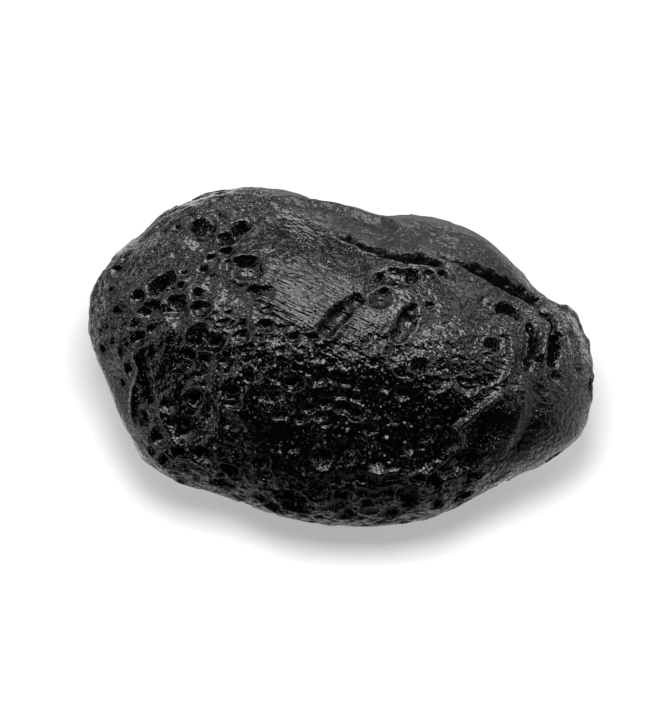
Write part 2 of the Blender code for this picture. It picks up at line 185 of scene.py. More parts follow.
@dataclass(frozen=True)
class Lump:
    """The stone's bare form: an ellipsoid drawn to the outline, resting on a worn flat, in mm."""

    length: float = 51.0
    depth: float = 35.6
    height: float = 27.2
    worn: float = 1.1
    worn_edge: float = 0.5
    middle: Pair = (0.0, 0.35)
    lean: float = math.radians(60)
    outline: Outline = Outline()

    @property
    def across(self) -> Array:
        """Give the show face's direction across."""
        return np.array([1.0, 0.0, 0.0])

    @property
    def up(self) -> Array:
        """Give the show face's direction up."""
        return np.array([0.0, math.sin(self.lean), math.cos(self.lean)])

    @property
    def out(self) -> Array:
        """Give the direction straight out of the show face."""
        return np.array([0.0, -math.cos(self.lean), math.sin(self.lean)])

    @property
    def lift(self) -> float:
        """Give the height of the form's middle over the surface it lies on, in mm."""
        return self.height / 2 - self.worn

    def surface(self, directions: Array) -> Array:
        """Stretch each ellipsoid point from the middle, fully at the outline and not at all at the centre.

        Args:
            directions: Unit directions from the middle.

        Returns:
            A skin point for each direction, in mm from the middle.
        """
        half = np.array([self.length, self.depth, self.height]) / 2
        points = directions * half
        u, v = points @ self.across, points @ self.up
        half_up = math.hypot(half[1] * self.up[1], half[2] * self.up[2])
        angle = np.arctan2(v, u)
        ellipse = 1 / np.hypot(np.cos(angle) / half[0], np.sin(angle) / half_up)
        stretch = self.outline.radius(angle) / ellipse - 1
        to_edge = smooth_step(np.hypot(u / half[0], v / half_up))
        return points * (1 + stretch * to_edge)[:, None]

    def normals(self, directions: Array) -> Array:
        """Cross two short steps over the surface, for its outward unit normals.

        Args:
            directions: Unit directions from the middle.

        Returns:
            The surface's unit normal for each direction.
        """
        step = 1e-3
        pole = np.where(np.abs(directions[:, 2:]) < 0.9, [[0.0, 0.0, 1.0]], [[1.0, 0.0, 0.0]])
        east = unit(np.cross(pole, directions)) * step
        north = np.cross(directions, east)
        over = [self.surface(unit(directions + way)) for way in (east, -east, north, -north)]
        return unit(np.cross(over[0] - over[1], over[2] - over[3]))

    def rest(self, points: Array) -> Array:
        """Stand the form on its worn flat: heights ease by a parabola into the plane z = 0.

        Args:
            points: Skin points, in mm from the form's middle.

        Returns:
            The same points in metres, in the row frame.
        """
        placed = points - (*self.middle, -self.lift)
        height, edge = placed[:, 2], self.worn_edge
        rounded = (height + edge) ** 2 / (4 * edge)
        placed[:, 2] = np.where(height < edge, np.where(height < -edge, 0.0, rounded), height)
        return placed * MM


SHAKES = (Ripple(1.6, 0.11, seed=21), Ripple(0.7, 0.05, seed=24))


@dataclass
class ShowFace:
    """Places ovals and creases on the side of the skin that the show face's own plane looks at."""

    lump: Lump
    points: Array
    normals: Array
    flat: Array = field(init=False)
    hidden: Array = field(init=False)
    away: Array = field(init=False)
    shaken: Array = field(init=False)

    def __post_init__(self) -> None:
        """Lay the skin points on the face's plane, set aside those that face away, and shake them.

        The shaken points are moved a little along each axis, which gives the marks ragged outlines.
        """
        shake = [sum(ripple.over(self.points, axis) for ripple in SHAKES) for axis in range(3)]
        self.shaken = self.points + np.stack(shake, axis=1)
        self.flat = np.stack([self.points @ self.lump.across, self.points @ self.lump.up], axis=1)
        facing = self.normals @ self.lump.out
        self.hidden = np.where(facing > 0, 0.0, FAR)
        self.away = smooth_step(0.5 - FACING_AWAY * facing)

    def spot(self, patch: Oval) -> Array:
        """Measure how far each point is from a patch's middle on the face's plane, 1 at its rim."""
        angle = math.radians(patch.turn)
        u, v = (self.flat - (patch.u, patch.v)).T
        along = u * math.cos(angle) + v * math.sin(angle)
        aside = v * math.cos(angle) - u * math.sin(angle)
        return np.hypot(along / (patch.length / 2), aside / (patch.width / 2))

    def inside(self, *patches: Oval) -> Array:
        """Say how far inside any of the patches each point is: 1 well inside, eased to 0 past the rims."""
        share = np.zeros(len(self.points))
        for patch in patches:
            inside = smooth_step((PATCH_REACH - self.spot(patch)) / PATCH_EASE)
            share = np.maximum(share, inside * (1 - self.away))
        return share

    def seat(self, u: float, v: float) -> int:
        """Find the index of the skin point nearest to (u, v)."""
        return int(np.argmin(np.sum((self.flat - (u, v)) ** 2, axis=1) + self.hidden))

    def oval(self, mark: Oval) -> Array:
        """Measure how far each point is from an oval's middle, as a share of the way to its rim.

        Args:
            mark: The oval.

        Returns:
            The root of the summed powers of the distances along and across it, over its half sizes, and
            out of the skin, over its longer size. The power is the mark's bluntness.
        """
        seat = self.seat(mark.u, mark.v)
        normal = self.normals[seat]
        angle = math.radians(mark.turn)
        along = math.cos(angle) * self.lump.across + math.sin(angle) * self.lump.up
        along = unit(along - (along @ normal) * normal)
        away = self.shaken - self.points[seat]
        parts = (
            away @ along / (mark.length / 2),
            away @ np.cross(normal, along) / (mark.width / 2),
            away @ normal / max(mark.length, mark.width),
        )
        return sum(np.abs(part) ** mark.bluntness for part in parts) ** (1 / mark.bluntness)

    def crease(self, mark: Crease) -> Array:
        """Give a crease's profile: a bell across its path over the skin, eased out at both ends.

        Args:
            mark: The crease.

        Returns:
            1 on the path, falling as exp(-(distance / half width)^2).
        """
        knots = self.points[[self.seat(u, v) for u, v in mark.path]]
        knots = np.concatenate([[2 * knots[0] - knots[1]], knots, [2 * knots[-1] - knots[-2]]])
        steps = np.arange(CREASE_STEPS) / CREASE_STEPS
        curve = [spline_point(knots[i : i + 4], t) for i in range(len(mark.path) - 1) for t in steps]
        curve.append(knots[-2])
        nearest = np.full(len(self.points), FAR)
        along = np.zeros(len(self.points))
        for i, (start, end) in enumerate(zip(curve, curve[1:])):
            step = end - start
            t = np.clip((self.shaken - start) @ step / (step @ step), 0, 1)
            away = np.linalg.norm(self.shaken - start - t[:, None] * step, axis=1)
            along = np.where(away < nearest, (i + t) / (len(curve) - 1), along)
            nearest = np.minimum(nearest, away)
        ends = smooth_step(CREASE_RISE * np.minimum(along, 1 - along) + CREASE_END)
        return np.exp(-((nearest / mark.half_width) ** 2)) * ends


@dataclass(frozen=True)
class BubbleField:
    """Pits left by bubbles caught at the skin, one jittered ball to each cell of a lattice.

    The balls' sizes are in mm, and stretch draws them out along X. They reach full strength
    inside the patches of the show face, and the two shares of it elsewhere on either side. A ball's
    middle counts as off the skin by a share of its radius, clearance, at least.
    """

    spacing: float
    smallest: float
    largest: float
    strength: float
    seed: int
    stretch: float = 1.0
    patches: tuple[Oval, ...] = ()
    show_share: float = 0.0
    hidden_share: float = 0.0
    clearance: float = 0.4

    def depth(self, points: Array, normals: Array) -> Array:
        """Work out the pits' depth: sqrt(r^2 - aside^2) of each ball, less its middle's height.

        Args:
            points: Skin points, in mm.
            normals: The skin's unit normals there.

        Returns:
            How far below the skin the deepest bowl reaches at each point, in mm.
        """
        table = np.random.default_rng(self.seed).random((LATTICE, LATTICE, LATTICE, 4))
        squeezed = points / (self.stretch, 1, 1)
        low = np.floor(squeezed / self.spacing).astype(int)
        depth = np.zeros(len(points))
        for step in np.ndindex(3, 3, 3):
            cell = low + np.array(step) - 1
            i, j, k = (cell % LATTICE).T
            draw = table[i, j, k]
            away = squeezed - (cell + draw[:, :3]) * self.spacing
            radius = self.smallest + (self.largest - self.smallest) * draw[:, 3] ** 2
            height = np.abs(np.sum(away * normals, axis=1))
            aside = np.sum(away * away, axis=1) - height**2
            reach = np.sqrt(np.clip(radius**2 - aside, 0, None))
            depth = np.maximum(depth, reach - np.maximum(height, self.clearance * radius))
        return self.strength * depth

    def share(self, face: ShowFace) -> Array:
        """Say how strong the field is at each point: 1 in its patches, eased over their rims."""
        share = self.show_share + (self.hidden_share - self.show_share) * face.away
        return np.maximum(share, face.inside(*self.patches))


def spline_point(knots: Array, t: float) -> Array:
    """Give a point of a Catmull-Rom curve, a share t of the way between the middle two of four knots."""
    a, b, c, d = knots
    return 0.5 * (2 * b + (c - a) * t + (2 * a - 5 * b + 4 * c - d) * t**2 + (3 * b - 3 * c + d - a) * t**3)


def ovals(*rows: tuple[float, ...]) -> tuple[Oval, ...]:
    """Make an oval of each row: u, v, length, width, turn, height or depth, and any bluntness over 2."""
    return tuple(Oval(*row) for row in rows)


SWELLS = ovals(
    (14, 10.5, 15, 5, -36, 0.9),  # the back lobe
    (22.6, -0.5, 7, 12, 0, 0.45),  # the nose
    (-12.6, -0.5, 7, 4, 10, -0.3),  # the hollow below the pitted shoulder
    (-1, -8, 36, 9.5, -2, -0.85),  # the hollow front
    (3, -3.4, 18, 6, 3, -0.3),
    (-14.8, -7.3, 6.5, 5, 0, -0.7),  # the hollow behind the left flank's ridge
    (14.8, -5.4, 3.5, 4, -40, -0.3),  # the hollow below the nose's fold
    (-4, -1.6, 18, 6.5, -3, 0.4),  # the brow above the hollow front, in two parts
    (12, 4.8, 18, 8, 0, 0.5),
    (12.8, -1.2, 7, 4.6, -5, -0.25),  # the dip below its right part
)

CREASES = (
    # the crown's ridge and the strip behind it
    Crease(0.6, 0.7, ((-7.8, 15.8), (-4, 15.2), (-1, 14.7), (1.5, 13.9), (4.5, 13), (6.8, 12.2))),
    Crease(1.2, -0.4, ((-1.5, 13.2), (2, 12.3), (5, 11.5), (8, 10.7))),
    # the groove below the crown, the back groove, and the lip between them
    Crease(0.5, -1.35, ((-0.8, 12.4), (1.2, 11.5), (3.2, 10.6), (6, 9.8), (8.5, 9.6), (10.5, 9))),
    Crease(0.7, 0.35, ((8.6, 9.9), (11, 9), (14, 7.3), (17, 5.6), (19.2, 4.7))),
    Crease(1.6, -0.4, ((8, 11.7), (10, 11), (12, 10.2))),
    Crease(0.4, -0.9, ((9.6, 10.4), (11.2, 9.6), (13, 8.6), (14.8, 7.6), (16.2, 6.8))),
    Crease(0.6, -1.3, ((13.8, 8.2), (15.4, 7.3), (16.9, 6.4), (18.5, 5.5), (20.2, 4.8))),
    # the folds beside the nose
    Crease(0.45, -2.2, ((19.6, 4.7), (20.8, 3.7), (21.1, 1.6), (20.9, -0.2), (20.7, -1.3))),
    Crease(0.5, 1, ((20, 3.3), (19.8, 1.6), (19.4, -0.6))),
    Crease(0.4, 0.5, ((21.4, 4.7), (22.9, 4.2), (23.9, 3.4), (24.4, 1.9), (24.8, 0.4))),
    Crease(0.4, -1.2, ((18.5, 3.2), (18.7, 1.8), (18.5, 0), (18.3, -1.6))),
    Crease(0.35, 0.7, ((15.9, 2.8), (16.5, 1.1), (16.6, -0.8), (16.1, -3.4))),
    Crease(0.8, 0.25, ((17.9, -1.8), (17.8, -4.2), (17.2, -6.8), (16, -9.2))),
    Crease(0.9, -0.4, ((19.3, -2.4), (19.2, -4.6), (18.6, -7.2), (17.4, -9.6))),
    Crease(0.5, -0.5, ((22.4, 2.6), (23.1, 1.2), (23.2, -0.6), (23.6, -2.2))),
    # the fold that runs down to the foot
    Crease(
        0.35, 0.8, ((16.2, -3.2), (14.4, -4.8), (12.8, -6.1), (11.5, -7.4), (11.8, -8.9), (10.4, -10.2))
    ),
    Crease(0.45, 0.6, ((10.6, -10.1), (8.3, -11.5), (5, -11.7), (2, -11.4))),
    # the left flank
    Crease(0.5, -0.5, ((-19, -1.8), (-19.1, -3.4), (-18.8, -5.2))),
    Crease(0.4, 0.35, ((-19.3, 1.3), (-20.1, -0.1), (-19.8, -1.5), (-20.7, -4.1), (-20.5, -7.9))),
    Crease(0.35, 0.5, ((-18.1, -4.1), (-17.7, -6.2), (-17, -7.7), (-15.3, -9.8), (-12.4, -11.5))),
)

PITS = ovals(
    # the shoulder's nest of bubbles
    (-13.6, 12.7, 3, 2.9, 0, 1.25, 3), (-14.2, 13.2, 2, 1.4, 40, 1.8),
    (-13.9, 11.3, 3.4, 3.1, 0, 0.85, 3), (-12.1, 14, 2.4, 2, 20, 0.85),
    (-11.2, 11.7, 2.7, 2.1, 15, 1.4), (-9.9, 12.9, 2.6, 2.1, 75, 1.4), (-11.1, 10.4, 1.9, 1.2, 0, 0.5),
    (-8.4, 13.5, 1.5, 1.5, 0, 0.45), (-9.8, 14.6, 0.9, 0.6, 90, 0.3), (-9.4, 15.9, 2.3, 1.2, -8, 0.35),
    (-17.9, 13, 2.6, 1.6, 20, 0.5), (-16, 12.9, 1.4, 1.1, 0, 0.4), (-19.2, 11.8, 1.8, 1.4, 20, 0.5),
    (-12.4, 9.5, 2, 1.6, 0, 0.4), (-13.1, 8.5, 1.8, 1.2, 0, 0.35), (-14.6, 9.9, 1.6, 1, 0, 0.35),
    (-18.4, 10.4, 1, 0.8, 30, 0.35), (-15.4, 14.2, 1, 0.8, 20, 0.35),
    # the far left
    (-21.4, 9.8, 2, 1.2, 40, 1), (-22, 8.5, 2.9, 2.7, 0, 0.9, 3), (-22.6, 6.5, 1.2, 1, 0, 0.4),
    (-17.7, 7.2, 3.2, 1.7, 27, 1.4, 3), (-20, 5.7, 1.9, 1.9, 40, 0.6),
    (-18.4, 4.3, 2.2, 2.3, 0, 0.8, 3), (-18.4, 5.1, 1.8, 0.9, 0, 1.1), (-16.1, 4.6, 2.6, 3.2, 20, 0.65),
    (-15.9, 5.5, 1.9, 1.1, 20, 0.9), (-15.5, 6.8, 1.2, 1, 0, 0.4), (-14, 6.1, 1.6, 1.3, 0, 0.45),
    (-13.5, 4.7, 2.2, 1.8, 0, 0.5), (-19.9, 3.2, 1.7, 1.4, 0, 0.5), (-19.7, 2.1, 1.4, 1.3, 0, 0.5),
    (-23.8, 2.4, 0.8, 0.7, 0, 0.35), (-22.5, 1.3, 0.8, 0.8, 0, 0.4), (-23.5, 0.4, 1.6, 1.1, -50, 0.7),
    (-13.8, 1.7, 2.4, 2.4, 0, 1, 3), (-12.4, 1.3, 2.2, 2, 0, 1.1), (-14.9, 0.2, 1.6, 1.3, 0, 0.8),
    # between the shoulder and the troughs
    (-9.1, 8.6, 3, 2.8, 0, 0.85, 3), (-9.1, 9.4, 2.6, 1, 0, 1.2), (-8.2, 6.3, 1.7, 1.4, 0, 0.6),
    (-7.1, 6.2, 1.5, 1.4, 0, 0.35), (-6.8, 5.6, 0.8, 0.5, 0, 0.3), (-12.3, 8.4, 1.1, 0.6, 0, 0.25),
    (-7, 4.6, 0.9, 0.5, 0, 0.35), (-11, 4.2, 0.9, 0.5, 0, 0.35), (-11.5, 3.3, 1.1, 0.6, 10, 0.35),
    (-7.4, 2.9, 1.9, 1.4, 0, 0.6), (-9.5, 3, 1, 0.6, 0, 0.4), (-9.6, 1.9, 1.9, 1.4, 0, 0.6),
    (-7.9, 1.9, 0.9, 0.6, 0, 0.4), (-4.6, 1.7, 1.5, 1.1, 0, 0.5), (-2.6, 1.7, 1.3, 1, 0, 0.5),
    (-7.5, 0.9, 0.9, 0.6, 0, 0.35), (-5.6, 0.7, 0.9, 0.6, 0, 0.35), (-4.9, 7.8, 2, 0.4, -12, 0.3),
    (-8.4, 10.2, 1.2, 0.4, 0, 0.3), (-6.9, 10.2, 1.6, 0.4, -5, 0.3), (-2.2, 8.6, 2.2, 1.2, -20, 0.15),
    (-2.8, 9, 0.8, 0.5, 0, 0.3), (-1.6, 8.3, 0.8, 0.5, 0, 0.3), (-1.4, 9.1, 0.7, 0.5, 0, 0.25),
    # the long troughs and the bubbles above them
    (-1.1, 2.8, 2.2, 1.8, 50, 0.8, 3), (0.1, 4.1, 3, 2, 50, 0.95, 3),
    (1.4, 5.3, 2.2, 1.6, 50, 0.75, 3), (5.8, 2.1, 2.2, 1.9, 70, 0.75), (6.6, 3.4, 2.8, 2, 65, 0.7, 3),
    (7.1, 4.4, 1.6, 1.2, 60, 0.5), (3.8, 5.4, 2.6, 2.1, 50, 0.6), (4.3, 6.2, 1.5, 1, 20, 0.6),
    (5.5, 7.6, 4.6, 2.8, 0, 0.6), (3.8, 7.7, 1.8, 1.6, 90, 0.9), (5.4, 7.4, 2.2, 1.6, 0, 1),
    (7.1, 7.9, 1.8, 1.7, 90, 1), (8.8, 8, 1.8, 1.5, 90, 0.7), (10, 8.2, 1.4, 1.2, 0, 0.6),
    # bubbles along the groove below the crown
    (1.2, 11.9, 1.3, 1, -35, 0.8), (2.1, 11.3, 1.3, 1, -35, 0.9), (3.4, 10.4, 1.4, 1.1, -20, 1),
    (4.5, 10, 1.5, 1.2, -15, 1.1), (5.6, 9.7, 1.4, 1.1, -10, 1), (6.7, 9.9, 1.4, 1.2, 0, 1.1),
    (7.9, 9.9, 1.4, 1.2, 0, 1.1), (9, 9.5, 1.4, 1.1, -15, 1), (9.7, 9.2, 1, 0.7, -10, 0.4),
    # bubbles along the back groove
    (13.4, 8.6, 1.5, 1.2, -35, 0.9), (14.9, 7.9, 1.5, 1.2, -35, 0.9), (16.3, 7.1, 1.6, 1.3, -35, 1),
    (17.8, 6.2, 1.6, 1.3, -35, 1), (19.2, 5.4, 1.5, 1.2, -35, 0.9),
    # beside the nose
    (8.8, 4.9, 1, 0.8, 0, 0.4), (10.3, 3.1, 0.6, 0.5, 0, 0.3), (13.9, 5, 1.2, 1.1, 0, 0.5),
    (14.9, 7, 1.4, 1, 0, 0.8), (16.5, 4.3, 2.8, 2.3, 0, 1.4), (17.6, 3.7, 1.4, 1.3, 0, 0.7),
    (13.9, 5.2, 1.4, 1.3, 0, 0.4), (20.9, -2.1, 1.7, 1.4, 0, 0.4), (14.9, 1, 1.8, 1.4, 0, 0.9),
    (20.1, 4, 1.6, 1.1, 0, 1.2), (21.5, 1.8, 1.2, 1.4, 0, 0.6),
    # the middle
    (7.9, -0.9, 2, 1.5, 0, 0.9), (15, -2.1, 0.9, 0.7, 0, 0.4), (-4.7, -2.6, 2.8, 1.8, 0, 0.9),
    (-9, -2, 1.4, 1.2, 0, 0.6), (-10.8, -3.5, 2.1, 1.7, 0, 1), (-14.5, -4.2, 2.2, 1.9, 0, 0.8),
    (-10.7, -4.6, 1.9, 1.4, 0, 0.55), (-6.5, -3.9, 2, 1.4, 0, 0.55), (-1.8, -2.1, 1.9, 1.3, 0, 0.5),
    (-1.5, -4.7, 1.9, 1.3, 0, 0.5), (-3.3, -5.1, 2, 1.3, 0, 0.5), (0.3, -5.1, 2, 1.4, 0, 0.55),
    (-5.9, -6, 1.9, 1.3, 0, 0.5), (-3.9, -6.3, 1.8, 1.2, 0, 0.5), (-2, -6.1, 1.8, 1.2, 0, 0.5),
    (1.5, -5.7, 2.5, 1.5, -15, 0.6), (-4.7, -9.4, 1.5, 1.1, 0, 0.4), (-1.4, -6.9, 1.3, 0.8, 0, 0.3),
    # the outline's notches
    (25.1, -3.1, 3.4, 2.4, 0, 1.7), (21.3, -10, 2.2, 1.6, 0, 0.5), (21.2, 5.2, 2.5, 2, -35, 0.6),
    (4.6, 14, 4.4, 2.4, -15, 0.6), (-20.2, 12.4, 2.2, 1.6, 40, 0.5), (-23.7, 9.2, 1.9, 1.6, 50, 0.5),
    # the left flank
    (-21, -1.4, 1.6, 0.9, 90, 0.6), (-21.6, -2.9, 1.3, 0.8, -60, 0.5),
    # the scalloped foot
    (-18.3, -8.5, 1.5, 1.1, -30, 0.6), (-18.6, -9.6, 1.6, 1.5, -20, 0.5),
    (-17.4, -10.4, 1.4, 1.8, 0, 0.8), (-15.9, -9.8, 2.1, 1.5, -30, 0.8), (-13.8, -10.2, 2.3, 2.2, 0, 1),
    (-12.6, -9, 1.1, 1.3, 0, 0.6), (-10.8, -11.6, 2.8, 2.1, -50, 1), (-10.3, -8.5, 1.4, 1.2, 0, 0.5),
    (-7.9, -10.7, 1.9, 2, 0, 0.7), (-7.3, -12.1, 1.8, 1.2, 0, 0.5), (-4.8, -14.4, 3.6, 3.4, 0, 1.1),
    (-2.2, -13.3, 2.8, 2.7, 0, 0.9), (-1.8, -10.4, 2.4, 2.3, 0, 0.6), (0.1, -13.9, 2.3, 1.9, 0, 0.8),
    (6.6, -13.9, 2.6, 3.4, 0, 1.1), (7.6, -12.1, 1.9, 1.5, 0, 0.7), (9.2, -12.7, 1.9, 2, 0, 0.9),
    (9.5, -14.5, 1.6, 2, 0, 0.7), (10.5, -11.7, 2.4, 1.6, 0, 0.8), (12.2, -10.6, 4.2, 2.8, 25, 1.2),
    (12.9, -12, 2.5, 1.4, 5, 0.8), (12.2, -13.9, 2.4, 1.8, 10, 0.6),
)

SHOULDER = Oval(-17.5, 8.5, 20, 17, 40)
BELT = Oval(-2, -1.1, 32, 8, -3)
FOOT = Oval(-1, -13, 36, 10, 0)
LOWER_NOSE = Oval(19, -6, 9, 7, 0)
NOSE_ROOT = Oval(17, 3, 9, 8, 0)
NOSE = Oval(20, 1, 13, 12, 0)
LOWER_LEFT = Oval(-14, -8.5, 14, 9, -50)
FRONT = Oval(-1, -7, 32, 11, 0)
FLOWING = Oval(-1.5, 4.5, 16, 7.5, -30)
FROSTED = ovals(  # the lower nose, the strip behind the crown and the back lobe
    (20, -5.5, 9, 8, 20), (3, 13.6, 20, 5.5, -20), (13, 10.6, 15, 6, -38),
)
EVEN = ovals(
    # the dome
    (-2, 7.5, 16, 9, -30), (9.5, 3.5, 9, 8, 0), (13, 1, 10, 6, -10),
    (-8, 5.2, 8, 4, -10),
    # the strip behind the crown, and the back lobe
    (4, 13, 16, 5, -25), (12, 10.8, 16, 6, -38),
    # the lower nose and the left flank
    (20.5, -5, 9, 14, -15), (-22.3, -4.5, 4, 11, 15),
)

BROAD = Ripple(9, 0.25, seed=1)
MIDDLING = Ripple(3.5, 0.15, seed=2)
FINE = (Ripple(1.4, 0.1, seed=4), Ripple(0.8, 0.05, seed=6))
BUBBLY = Ripple(7, 1, seed=3)

FIELDS = (
    BubbleField(3.9, 0.8, 1.9, 1.6, 11, hidden_share=1),
    BubbleField(2.4, 0.9, 1.5, 0.8, 14, patches=(FOOT, LOWER_LEFT), hidden_share=1),
    BubbleField(2.7, 0.7, 1.5, 0.6, 16, patches=(SHOULDER,)),
    BubbleField(2.1, 0.5, 1.2, 0.75, 12, patches=(SHOULDER, NOSE_ROOT), show_share=0.25, hidden_share=0.8),
    BubbleField(2.2, 0.6, 1.1, 0.6, 15, 1.3, patches=(FRONT, BELT), hidden_share=0.3),
    BubbleField(
        1.05, 0.3, 0.65, 0.9, 13, 1.3, patches=(SHOULDER, BELT, FOOT), show_share=0.3, hidden_share=0.5
    ),
)


def add_object(name: str, data: bpy.types.ID) -> bpy.types.Object:
    """Make an object of some data and put it into the scene."""
    added = bpy.data.objects.new(name, data)
    bpy.context.collection.objects.link(added)
    return added


def cube_sphere(rows: int) -> tuple[Array, Array]:
    """Make a sphere of six square grids, so that it has no poles.

    Each grid's two parameters run from -1 to 1 through a tangent, which evens its squares, and the
    point on the cube is divided by its length. Points that two grids share are made one.

    Args:
        rows: Squares along each side of a grid.

    Returns:
        The unit directions, and the four corners of each square, turning outwards.
    """
    line = np.tan(np.linspace(-1, 1, rows + 1) * math.pi / 4)
    s, t = np.meshgrid(line, line, indexing="ij")
    ones = np.ones_like(s)
    sides = [(ones, s, t), (-ones, t, s), (t, ones, s), (s, -ones, t), (s, t, ones), (t, s, -ones)]
    points = unit(np.concatenate([np.stack(side, axis=-1).reshape(-1, 3) for side in sides]))
    place = np.arange((rows + 1) ** 2).reshape(rows + 1, rows + 1)
    square = np.stack([place[:-1, :-1], place[1:, :-1], place[1:, 1:], place[:-1, 1:]], axis=-1)
    squares = np.concatenate([square.reshape(-1, 4) + side * (rows + 1) ** 2 for side in range(6)])
    _, first, same = np.unique(np.round(points, 7), axis=0, return_index=True, return_inverse=True)
    return points[first], same.reshape(-1)[squares]


class Attribute(Enum):
    """The numbers that the skin keeps at each point for its finish."""

    FROST = "frost"
    GRIT = "grit"
    FLANK = "flank"
    FLOW = "flow"


@dataclass(frozen=True)
class Wear:
    """How the skin has worn from place to place, as shares that the finish reads.

    Grit is least on the bare skin, and an even place has a little less of it. Flow lines turn upright
    on the flanks, which start and end at two distances from the middle, in mm.
    """

    bare_grit: float = 0.3
    front_grit: float = 0.7
    nose_grit: float = 0.35
    frosted_grit: float = 0.4
    even_loss: float = 0.3
    bare_flow: float = 0.25
    flank: Pair = (16.0, 20.0)

    def shares(self, face: ShowFace) -> dict[Attribute, Array]:
        """Work out each share: a bare skin's, and more inside the patches.

        Args:
            face: The skin's points, laid on the show face.

        Returns:
            The shares at each point, by attribute.
        """
        frosted = face.inside(*FROSTED)
        front = self.front_grit * face.inside(FRONT, BELT, FOOT)
        nose = self.nose_grit * face.inside(NOSE, LOWER_NOSE)
        grit = self.bare_grit + np.maximum(np.maximum(front, nose), self.frosted_grit * frosted)
        start, end = self.flank
        return {
            Attribute.FROST: frosted,
            Attribute.GRIT: grit * (1 - self.even_loss * face.inside(*EVEN)),
            Attribute.FLANK: smooth_step((np.abs(face.points[:, 0]) - start) / (end - start)),
            Attribute.FLOW: self.bare_flow + (1 - self.bare_flow) * face.inside(FLOWING),
        }


@dataclass
class Skin:
    """The stone's finished skin: the lump, moved along its normals by every mark.

    A pit's rim is a bell just outside it: its place and half width are shares of the way from the pit's
    middle to its edge, and its height is a share of the pit's depth. The numbers from broad_hidden down
    say how much more the waves rise, or how much less, in some places.
    """

    lump: Lump = Lump()
    wear: Wear = Wear()
    rows: int = 128  # squares along each side of the six grids
    gather: float = 0.3  # how far the points gather towards the show face
    deepened: float = 1.1  # depth of a pit, against its row's
    rim_height: float = 0.09
    rim_place: float = 1.1
    rim_width: float = 0.22
    broad_hidden: float = 2.0
    middling_frosted: float = -0.8
    fine_even: float = -0.7
    fine_frosted: float = -0.6
    fine_front: float = -0.5
    fine_belt: float = 0.7
    bubbly_start: float = 0.75
    bubbly_even: float = -0.8

    def ripples(self, face: ShowFace) -> Array:
        """Add up the broad, middling and fine waves, each with its own strength from place to place."""
        points = face.points
        even, frosted = face.inside(*EVEN), face.inside(*FROSTED)
        calm = (1 + self.fine_even * even) * (1 + self.fine_frosted * frosted)
        calm *= (1 + self.fine_front * face.inside(FRONT)) * (1 + self.fine_belt * face.inside(BELT))
        height = (1 + self.broad_hidden * face.away) * BROAD.over(points)
        height += (1 + self.middling_frosted * frosted) * MIDDLING.over(points)
        return height + calm * sum(ripple.crumbled(points) for ripple in FINE)

    def placed_pits(self, face: ShowFace) -> tuple[Array, Array]:
        """Find the deepest placed pit and the highest rim: a pit is depth x (1 - away^bluntness).

        Args:
            face: The skin's points, laid on the show face.

        Returns:
            The pits' depth and the rims' height at each point, in mm.
        """
        pits = np.zeros(len(face.points))
        rims = np.zeros(len(face.points))
        for mark in PITS:
            away = face.oval(mark)
            pits = np.maximum(pits, self.deepened * mark.rise * np.clip(1 - away**mark.bluntness, 0, 1))
            bell = np.exp(-(((away - self.rim_place) / self.rim_width) ** 2))
            rims = np.maximum(rims, self.rim_height * mark.rise * bell)
        return pits, rims

    def marks(self, face: ShowFace) -> Array:
        """Add up the waves, swells, creases and rims, and take away the pits.

        The placed pits and the coarsest field's share one depth, the deeper of the two. The finer fields
        come on top, in bubbly patches.

        Args:
            face: The skin's points, laid on the show face.

        Returns:
            How far each point stands out, in mm.
        """
        height = self.ripples(face)
        for mark in SWELLS:
            height += mark.rise * np.exp(-(face.oval(mark) ** 2))
        for mark in CREASES:
            height += mark.rise * face.crease(mark)
        pits, rims = self.placed_pits(face)
        coarse, *finer = (field.depth(face.points, face.normals) * field.share(face) for field in FIELDS)
        bubbly = smooth_step(self.bubbly_start + BUBBLY.over(face.points))
        bubbly *= 1 + self.bubbly_even * face.inside(*EVEN)
        return height + rims - np.maximum(pits, coarse) - bubbly * sum(finer)

    def build(self, name: str) -> bpy.types.Object:
        """Build the skin on a sphere of directions, and keep the shares that its finish reads.

        Args:
            name: The new object's name.

        Returns:
            The object, at the origin, in metres.
        """
        directions, squares = cube_sphere(self.rows)
        directions = unit(directions + self.gather * self.lump.out)
        face = ShowFace(self.lump, self.lump.surface(directions), self.lump.normals(directions))
        places = self.lump.rest(face.points + face.normals * self.marks(face)[:, None])
        mesh = bpy.data.meshes.new(name)
        mesh.from_pydata(places, [], squares)
        mesh.update()
        mesh.shade_smooth()
        for attribute, shares in self.wear.shares(face).items():
            layer = mesh.attributes.new(attribute.value, "FLOAT", "POINT")
            layer.data.foreach_set("value", shares.astype(np.float32))
        return add_object(name, mesh)


